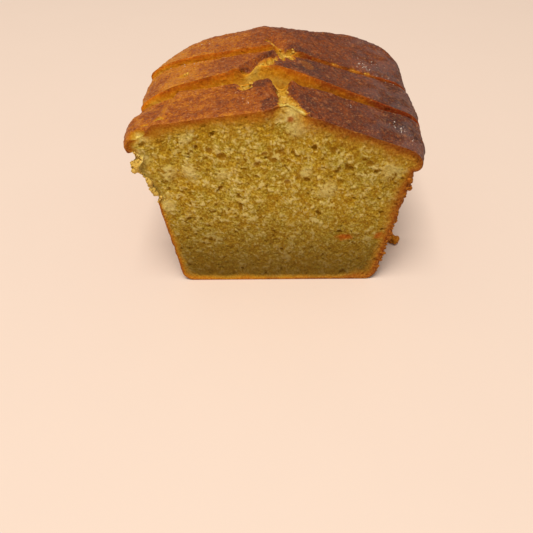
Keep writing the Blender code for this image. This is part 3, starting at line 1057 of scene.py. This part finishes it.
def make_crumbs(name, groups, material):
    """One piece from groups of lumps, each with its own crust value and brownness."""
    points, faces, inner, brown = zip(*groups)
    counts = [len(group) for group in points]
    starts = np.cumsum([0, *counts])
    faces = np.concatenate([group + start for group, start in zip(faces, starts)])
    points = np.clip(np.concatenate(points), np.array(cad_low), np.array(cad_high))
    _, pale, pit_shade = crumb_fields(points)
    values = {
        "cut": 1.0, "inner": np.repeat(inner, counts), "brown": np.repeat(brown, counts),
        # Loose crumbs keep little painted shade in their holes and are always a little pale: painted light
        "pit_shade": 0.2 * pit_shade, "pale": np.maximum(pale, 0.3), "stain": 0.0, "wall": 1.0,
        "low": 0.0, "frost_and_sheen": 0.0, "sunk": 0.0,
    }
    add_piece(name, points, faces.tolist(), material, values)


def add_crumbs(skins, cake):
    """Crumbs that cling to the torn left wall, to the right wall and to the torn crown, and
    one that has fallen beside the loaf."""
    rng = np.random.default_rng(7)
    front = skins["slice_front"]
    x, _, z = front.points.T
    near_front = np.exp(-(front.points[:, 1] - cad_low.y) / (6.0 * MM))
    shell = front.values["cut"] < 0.5
    torn = shell * (x < -45.0 * MM) * (front.values["inner"] > 0.5) * between(z, 46.0, 76.0)
    stuck = shell * (x > 44.0 * MM) * front.values["wall"] * between(z, 3.0, 62.0)
    sizes = (0.35 * MM, 1.1 * MM)
    lumps = clinging(front, torn * (0.15 + near_front), 90, sizes, 0.1, (0.5, 1.5), rng)
    groups = [(*lumps, 2.0, 0.3)]
    sizes = (0.4 * MM, 1.3 * MM)
    lumps = clinging(front, stuck * (0.02 + near_front**2), 110, sizes, 0.0, (0.5, 1.4), rng)
    groups.append((*lumps, 0.3, 0.5))
    sizes = (0.3 * MM, 0.95 * MM)
    for skin in skins.values():
        bare = (skin.values["cut"] < 0.5) * (skin.values["inner"] > 0.5) * (skin.values["wall"] < 0.5)
        behind = skin.points[:, 1] - cad_low.y > 8.0 * MM
        weight = bare * behind * (skin.points[:, 2] > 70.0 * MM)
        lumps = clinging(skin, weight, 40, sizes, 0.2, (0.6, 1.2), rng)
        groups.append((*lumps, 1.1, 0.3))
    make_crumbs("clinging_crumbs", groups, cake)
    place = np.array([[FALLEN_X, cad_low.y + FALLEN_ALONG, FALLEN_Z]])
    lump = blobs(place, np.array([FALLEN_RADIUS]), (0.75, 1.1), rng, 4)
    make_crumbs("fallen_crumb", [(*lump, 0.35, 0.3)], cake)


def add_sugar(skins, material):
    """Small sharp crystals in clusters, each half sunk in the crust below it."""
    rng = np.random.default_rng(19)
    crown = np.concatenate([skin.points[skin.values["cut"] < 0.5] for skin in skins.values()])
    crown = crown[crown[:, 2] > 68.0 * MM]
    centres = np.concatenate([
        np.column_stack([mid + rng.normal(0.0, stray, count) for mid, stray in zip(place, SUGAR_STRAY)])
        for *place, count in SUGAR
    ]) * MM + np.array((0.0, cad_low.y))
    nearest = [np.argmin(np.hypot(*(crown[:, :2] - centre).T)) for centre in centres]
    radii = mix(SUGAR_RADII, rng.random(len(centres)) ** 2)
    points, faces = blobs(crown[nearest], radii, (0.6, 1.1), rng, 1)
    points = np.clip(points, np.array(cad_low), np.array(cad_high))
    add_piece("sugar", points, faces.tolist(), material)


def make_piece(name, node, skin, material):
    """Turn a skin into an object that rides on the body and stands for its CAD node."""
    faces = skin.quads.tolist() + skin.triangles.tolist() + [cap.tolist() for cap in skin.caps]
    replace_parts(add_piece(name, skin.points, faces, material, skin.values), node)


# --- materials -----------------------------------------------------------------------


def linear(red, green, blue):
    """Linear colour from 0 to 255 display values."""
    values = np.array((red, green, blue)) / 255.0
    bright = ((values + 0.055) / 1.055) ** 2.4
    return (*np.where(values <= 0.04045, values / 12.92, bright), 1.0)


# Crumb from its hollows to its raised grain, in two hues
AMBER = ((0.15, 142, 98, 2), (0.5, 184, 140, 22), (0.85, 214, 180, 66))
LEMON = ((0.15, 136, 104, 6), (0.5, 176, 146, 38), (0.85, 216, 192, 98))

# The browned layer from the crust inward: on open cuts, light and dark, and on closed ones
LIGHT_LAYER = (
    (0.0, 164, 82, 14), (0.08, 170, 88, 6), (0.2, 178, 104, 6), (0.4, 184, 122, 14), (0.6, 186, 134, 30),
)
DARK_LAYER = (
    (0.0, 118, 50, 14), (0.08, 132, 56, 6), (0.2, 146, 74, 6), (0.4, 164, 98, 12), (0.6, 172, 118, 28),
)
# On closed cuts the inner stops are brighter and more golden than on open ones: painted light for the
# shaded grooves
CLOSED_LAYER = (
    (0.0, 146, 68, 10), (0.1, 188, 94, 6), (0.25, 214, 124, 8), (0.5, 228, 154, 24), (0.8, 232, 180, 62),
)

# Crust from golden to dark
CRUST = (
    (0.0, 184, 116, 28), (0.14, 168, 98, 18), (0.27, 148, 77, 16), (0.45, 124, 60, 18),
    (0.62, 98, 47, 23), (0.85, 72, 38, 28), (1.0, 52, 26, 22),
)

# What crumb turns to: paler where it stands up, painted light, and on pale lumps; in holes, painted
# shade; on torn walls and loose crumbs, painted light; low down and toward the right, painted shade;
# in real stains; and in closed cuts, a brighter gold that is painted light for the shaded grooves
# Painted light on raised grain, and the colour of the pale lumps
PALE_AND_LIT_GRAIN = (224, 201, 124)
# Painted shade in the crumb's holes and hollows
PAINTED_HOLE_SHADE = (148, 98, 0)
# Painted light: a brighter, warmer crumb for the torn wall and loose crumbs
TORN_PAINTED_LIGHT_GOLD = (220, 170, 72)
# Painted shade for the front cut's lower part and its right side
PAINTED_LOW_SHADE = (102, 72, 10)
STAIN_AMBER = (172, 84, 6)
# Painted light: crumb in closed cuts made brighter and more golden for the shaded grooves
CLOSED_PAINTED_LIGHT_GOLD = (236, 174, 50)

# What the browned layer turns to: raised and hollow on open cuts; browner, hollow and
# raised on closed ones
OPEN_RAISED = (226, 178, 74)
OPEN_HOLLOW = (120, 66, 4)
CLOSED_BROWN = (132, 46, 10)
CLOSED_HOLLOW = (132, 58, 4)
CLOSED_RAISED = (234, 186, 86)

# What crust turns to: a painted highlight on blisters, painted shade in pits, painted glints,
# darker specks of painted shade, and a grey bloom on the right, dried sugar and partly painted sheen
# Painted highlight on the crust's raised blisters
PAINTED_BLISTER_HIGHLIGHT = (176, 118, 74)
# Painted shade in the crust's pits
PAINTED_PIT_SHADE = (72, 30, 10)
# Painted glints in fine flecks over the crust
PAINTED_SPARKLE = (214, 152, 96)
# Darker specks of painted shade, the dark half of the crust's painted sparkle
PAINTED_SPECK_SHADE = (216, 152, 72)
# Grey of dried sugar and of painted sheen
DULL_FROST_AND_SHEEN = (140, 124, 122)

# The floor's colour, and how bright its clouds are beside it
FLOOR_PALE = (213, 190, 172)
FLOOR_CLOUDS = 0.98


class Nodes:
    """Short ways to add and join a material's nodes."""

    def __init__(self, name):
        self.material = bpy.data.materials.new(name)
        self.material.use_nodes = True
        self.tree = self.material.node_tree
        self.shader = self.tree.nodes["Principled BSDF"]
        self.place = self.tree.nodes.new("ShaderNodeTexCoord").outputs["Object"]

    def put(self, socket, value):
        """Join a node's output to the socket, or give the socket a plain value."""
        if isinstance(value, bpy.types.NodeSocket):
            self.tree.links.new(value, socket)
        else:
            socket.default_value = value

    def field(self, name):
        """A skin's values of that name."""
        node = self.tree.nodes.new("ShaderNodeAttribute")
        node.attribute_name = name
        return node.outputs["Fac"]

    def noise(self, size, detail=3.0, roughness=0.6):
        """Noise from 0 to 1 with features of that size."""
        node = self.tree.nodes.new("ShaderNodeTexNoise")
        self.put(node.inputs["Vector"], self.place)
        node.inputs["Scale"].default_value = 1.0 / size
        node.inputs["Detail"].default_value = detail
        node.inputs["Roughness"].default_value = roughness
        return node.outputs["Fac"]

    def math(self, operation, *values):
        """The values added, multiplied or otherwise worked out."""
        node = self.tree.nodes.new("ShaderNodeMath")
        node.operation = operation
        for socket, value in zip(node.inputs, values):
            self.put(socket, value)
        return node.outputs[0]

    def spread(self, value, low, high, to_low=0.0, to_high=1.0):
        """Map a value's range onto another one, held at its ends."""
        node = self.tree.nodes.new("ShaderNodeMapRange")
        for socket, number in zip(node.inputs, (value, low, high, to_low, to_high)):
            self.put(socket, number)
        return node.outputs[0]

    def stretch(self, noise, to_low, to_high):
        """Map the range that noise mostly keeps to onto another one."""
        return self.spread(noise, 0.25, 0.75, to_low, to_high)

    def blend(self, share, first, second, kind="MIX"):
        """The colour a share of the way from the first to the second."""
        node = self.tree.nodes.new("ShaderNodeMix")
        node.data_type = "RGBA"
        node.blend_type = kind
        self.put(node.inputs[0], share)
        self.put(node.inputs[6], first)
        self.put(node.inputs[7], second)
        return node.outputs[2]

    def tint(self, base, value, most, colour, span=(0.0, 1.0), kind="MIX"):
        """The base with up to the most of a display colour, as a value runs over its span."""
        return self.blend(self.spread(value, *span, 0.0, most), base, linear(*colour), kind)

    def ramp(self, value, *stops):
        """Colours along a value: each stop is a place from 0 to 1 and a display colour."""
        node = self.tree.nodes.new("ShaderNodeValToRGB")
        band = node.color_ramp
        while len(band.elements) < len(stops):
            band.elements.new(0.5)
        for element, (place, *colour) in zip(band.elements, stops):
            element.position = place
            element.color = linear(*colour)
        self.put(node.inputs[0], value)
        return node.outputs["Color"]

    def bump(self, height, distance):
        """Directions as if the surface stood up by its height times a distance."""
        node = self.tree.nodes.new("ShaderNodeBump")
        node.inputs["Distance"].default_value = distance
        node.inputs["Strength"].default_value = 1.0
        self.put(node.inputs["Height"], height)
        return node.outputs["Normal"]


def crumb_colour(n, tone, wall):
    """Two hues of crumb in clouds, paler where it stands up, painted light, and amber where it lies
    deep, painted shade; with painted light on torn walls and loose crumbs, painted shade low on
    the front cut and toward its right, and real stains.
    """
    amber = n.ramp(tone, *AMBER)
    lemon = n.ramp(tone, *LEMON)
    crumb = n.blend(n.spread(n.noise(8.0 * MM, 3.0, 0.7), 0.38, 0.62), amber, lemon)
    # Painted light where the grain stands up, and on pale lumps
    crumb = n.tint(crumb, n.field("pale"), 0.85, PALE_AND_LIT_GRAIN)
    # Painted shade in holes and hollows
    crumb = n.tint(crumb, n.field("pit_shade"), 0.8, PAINTED_HOLE_SHADE)
    # Painted light on the torn wall and on loose crumbs
    crumb = n.tint(crumb, wall, 0.5, TORN_PAINTED_LIGHT_GOLD)
    # Painted shade: the front cut darker toward the bottom and the right
    crumb = n.tint(crumb, n.field("low"), 0.86, PAINTED_LOW_SHADE)
    return n.tint(crumb, n.field("stain"), 0.85, STAIN_AMBER)


def open_layer_colour(n, behind, brown, tone):
    """The browned layer on an open cut: its light and dark ramps blended by brownness."""
    light = n.ramp(behind, *LIGHT_LAYER)
    dark = n.ramp(behind, *DARK_LAYER)
    layer = n.blend(n.spread(brown, 0.35, 0.6), light, dark)
    layer = n.tint(layer, tone, 0.25, OPEN_RAISED, (0.3, 0.9))
    return n.tint(layer, tone, 0.35, OPEN_HOLLOW, (0.7, 0.1))


def closed_layer_colour(n, behind, brown, tone):
    """The browned layer on a cut that stays closed: deeper and redder at the crust, and brighter
    and more golden further in, which is painted light for the shaded grooves.
    """
    layer = n.tint(n.ramp(behind, *CLOSED_LAYER), brown, 1.0, CLOSED_BROWN, (0.48, 0.72))
    layer = n.tint(layer, tone, 0.3, CLOSED_HOLLOW, (0.65, 0.2))
    return n.tint(layer, tone, 0.3, CLOSED_RAISED, (0.55, 0.95))


def crust_colour(n, brown, mottle, speckle):
    """Crust from golden to dark by brownness and three sizes of noise, with a painted highlight on
    blisters, painted shade in pits, painted glints, darker specks of painted shade that stand in for
    the gloss's contrast, and a faint grey bloom on the right, dried sugar and partly painted sheen."""
    shade = n.math("ADD", brown, n.stretch(mottle, -0.09, 0.11))
    shade = n.math("ADD", shade, n.stretch(n.noise(1.6 * MM, 2.0, 0.6), -0.12, 0.12))
    shade = n.math("ADD", shade, n.stretch(speckle, -0.20, 0.20))
    crust = n.ramp(shade, *CRUST)
    # Painted highlight on raised blisters
    crust = n.tint(crust, n.field("pale"), 0.35, PAINTED_BLISTER_HIGHLIGHT)
    # Painted shade in the crust's pits
    crust = n.tint(crust, n.field("pit_shade"), 0.55, PAINTED_PIT_SHADE)
    # Painted glints
    crust = n.tint(crust, n.noise(0.8 * MM, 1.0), 0.42, PAINTED_SPARKLE, (0.58, 0.74))
    # Darker specks of painted shade, standing in for the gloss's contrast
    crust = n.tint(crust, n.noise(0.75 * MM, 2.0, 0.6), 0.75, PAINTED_SPECK_SHADE, (0.49, 0.34), "MULTIPLY")
    # Grey bloom on the right: dried sugar, partly painted sheen
    return n.blend(n.math("MULTIPLY", n.field("frost_and_sheen"), 0.14), crust, linear(*DULL_FROST_AND_SHEEN))


def cake_material(name):
    """Crust outside, crumb inside, and the browned layer between them on a cut."""
    n = Nodes(name)
    cut = n.field("cut")
    inner = n.field("inner")
    wall = n.field("wall")
    brown = n.field("brown")
    speckle = n.noise(0.85 * MM, 2.0, 0.6)
    mottle = n.noise(3.2 * MM, 4.0)
    tone = n.math("ADD", n.stretch(speckle, 0.0, 0.8), n.stretch(mottle, 0.0, 0.2))
    crumb = crumb_colour(n, tone, wall)
    wander = n.stretch(n.noise(2.6 * MM, 4.0, 0.65), -0.13, 0.13)
    behind = n.math("ADD", n.math("MULTIPLY", inner, 0.5), wander)
    open_layer = open_layer_colour(n, behind, brown, tone)
    closed_layer = closed_layer_colour(n, behind, brown, tone)
    sunk = n.field("sunk")
    layer = n.blend(sunk, open_layer, closed_layer)
    reach = n.spread(behind, n.math("ADD", n.math("MULTIPLY", sunk, 0.5), 0.3), 0.95)
    # Painted light: crumb in closed cuts turns brighter gold, for the shaded grooves
    crumb = n.tint(crumb, sunk, 0.75, CLOSED_PAINTED_LIGHT_GOLD)
    cut_colour = n.blend(reach, layer, crumb)
    crust = crust_colour(n, brown, mottle, speckle)
    opened = n.math("MAXIMUM", cut, n.spread(inner, 0.15, 0.55))
    n.put(n.shader.inputs["Base Color"], n.blend(opened, crust, cut_colour))
    gloss = n.spread(n.noise(2.4 * MM, 3.0), 0.3, 0.7, 0.36, 0.56)
    gloss = n.math("ADD", gloss, n.math("MULTIPLY", wall, 0.22))
    n.put(n.shader.inputs["Roughness"], n.spread(opened, 0.0, 1.0, gloss, 0.88))
    n.shader.inputs["Specular IOR Level"].default_value = 0.13
    n.shader.inputs["Subsurface Weight"].default_value = 0.2
    n.shader.inputs["Subsurface Radius"].default_value = (1.0, 0.8, 0.45)
    n.shader.inputs["Subsurface Scale"].default_value = 1.0 * MM
    crumb_height = n.math("MULTIPLY", n.noise(1.1 * MM, 4.0, 0.65), n.spread(sunk, 0.0, 1.0, 1.0, 0.4))
    crust_height = n.noise(1.3 * MM, 4.0, 0.7)
    height = n.spread(opened, 0.0, 1.0, crust_height, crumb_height)
    n.put(n.shader.inputs["Normal"], n.bump(height, 0.6 * MM))
    return n.material


def sugar_material(name):
    """Clear white crystals, a little cloudy."""
    n = Nodes(name)
    cloud = n.noise(0.5 * MM, 2.0)
    n.put(n.shader.inputs["Base Color"], n.ramp(cloud, (0.3, 186, 164, 144), (0.7, 226, 210, 192)))
    n.put(n.shader.inputs["Roughness"], n.spread(cloud, 0.2, 0.8, 0.15, 0.4))
    n.put(n.shader.inputs["Normal"], n.bump(cloud, 0.1 * MM))
    return n.material


def floor_material(name):
    """A nearly even pale colour with a faint cloudiness."""
    n = Nodes(name)
    cloud = n.noise(60.0 * MM, 2.0)
    pale = linear(*FLOOR_PALE)
    darker = (*(value * FLOOR_CLOUDS for value in pale[:3]), 1.0)
    n.put(n.shader.inputs["Base Color"], n.blend(cloud, pale, darker))
    n.shader.inputs["Roughness"].default_value = 0.7
    return n.material


# --- the setting ---------------------------------------------------------------------

FLOOR_HALF = 3.0
FLOOR_GAP = 0.0002

# The camera: how it is turned, in degrees, its place from the front cut's middle at the
# floor, and its lens in mm on a frame 36 mm wide
CAMERA_PITCH = 44.57
CAMERA_YAW = 0.07
CAMERA_ROLL = -0.38
CAMERA_PLACE = (-0.00673, -0.18322, 0.18971)
CAMERA_LENS = 34.43
CAMERA_FRAME = 36.0


def add_floor():
    """A wide plain floor just under the loaf."""
    half = FLOOR_HALF
    level = cad_low.z - FLOOR_GAP
    corners = [(-half, -half, level), (half, -half, level), (half, half, level), (-half, half, level)]
    mesh = bpy.data.meshes.new("floor")
    mesh.from_pydata(corners, [], [(0, 1, 2, 3)])
    mesh.materials.append(floor_material("Pale floor"))
    floor = bpy.data.objects.new("floor", mesh)
    bpy.context.scene.collection.objects.link(floor)


def set_in_place(thing, right, top, back, place):
    """Put a camera or light into the scene at a place, turned by its three directions."""
    matrix = np.identity(4)
    matrix[:3] = np.stack((right, top, back, place), axis=1)
    thing.matrix_world = matrix.T.tolist()
    bpy.context.scene.collection.objects.link(thing)


def add_camera():
    """A camera that looks down on the cut face: turned to the side by its yaw, down by its
    pitch, and then round its own line of sight by its roll."""
    pitch, yaw, roll = (math.radians(angle) for angle in (CAMERA_PITCH, CAMERA_YAW, CAMERA_ROLL))
    ahead = math.cos(pitch)
    forward = np.array((math.sin(yaw) * ahead, math.cos(yaw) * ahead, -math.sin(pitch)))
    level = np.array((math.cos(yaw), -math.sin(yaw), 0.0))
    upward = np.cross(level, forward)
    right = level * math.cos(roll) + upward * math.sin(roll)
    top = upward * math.cos(roll) - level * math.sin(roll)
    data = bpy.data.cameras.new("camera")
    data.lens = CAMERA_LENS
    data.sensor_width = CAMERA_FRAME
    camera = bpy.data.objects.new("camera", data)
    set_in_place(camera, right, top, -forward, np.array(CAMERA_PLACE) + (TIN_AXIS_X, cad_low.y, 0.0))
    bpy.context.scene.camera = camera


def add_light(name, place, target, size, power):
    """A square soft warm light at a place, turned to face a target."""
    data = bpy.data.lights.new(name, "AREA")
    data.shape = "SQUARE"
    data.size = size
    data.energy = power
    data.color = (1.0, 0.98, 0.95)
    back = np.array(place, float) - np.array(target, float)
    back /= np.linalg.norm(back)
    side = np.cross((0.0, 1.0, 0.1), back)
    side /= np.linalg.norm(side)
    set_in_place(bpy.data.objects.new(name, data), side, np.cross(back, side), back, place)


def add_daylight():
    """Even pale light from all round."""
    world = bpy.data.worlds.new("daylight")
    world.use_nodes = True
    background = world.node_tree.nodes["Background"]
    background.inputs["Color"].default_value = (1.0, 0.96, 0.92, 1.0)
    background.inputs["Strength"].default_value = 0.34
    bpy.context.scene.world = world
    bpy.context.scene.view_settings.view_transform = "Standard"


def main():
    """Build the pieces of cake, the crumbs and the sugar, and set them in their light."""
    cake = cake_material("Cake")
    pieces = (
        ("front_slice", "slice_front", "cut_crumb"),
        ("second_slice", "slice_second", "light_crust"),
        ("uncut_end", "loaf_end", "dark_crust"),
    )
    skins = {}
    for name, node, slot in pieces:
        if node == "loaf_end":
            skin = end_skin(node)
        else:
            skin = slice_skin(node, node == "slice_front")
        shape_skin(skin, node)
        make_piece(name, node, skin, cake)
        skins[node] = skin
    add_crumbs(skins, cake)
    add_sugar(skins, sugar_material("Sugar"))
    add_floor()
    add_camera()
    add_light("overhead", place=(-0.30, -0.80, 2.9), target=(0.0, 0.0, 0.05), size=1.5, power=112.0)
    add_daylight()


main()
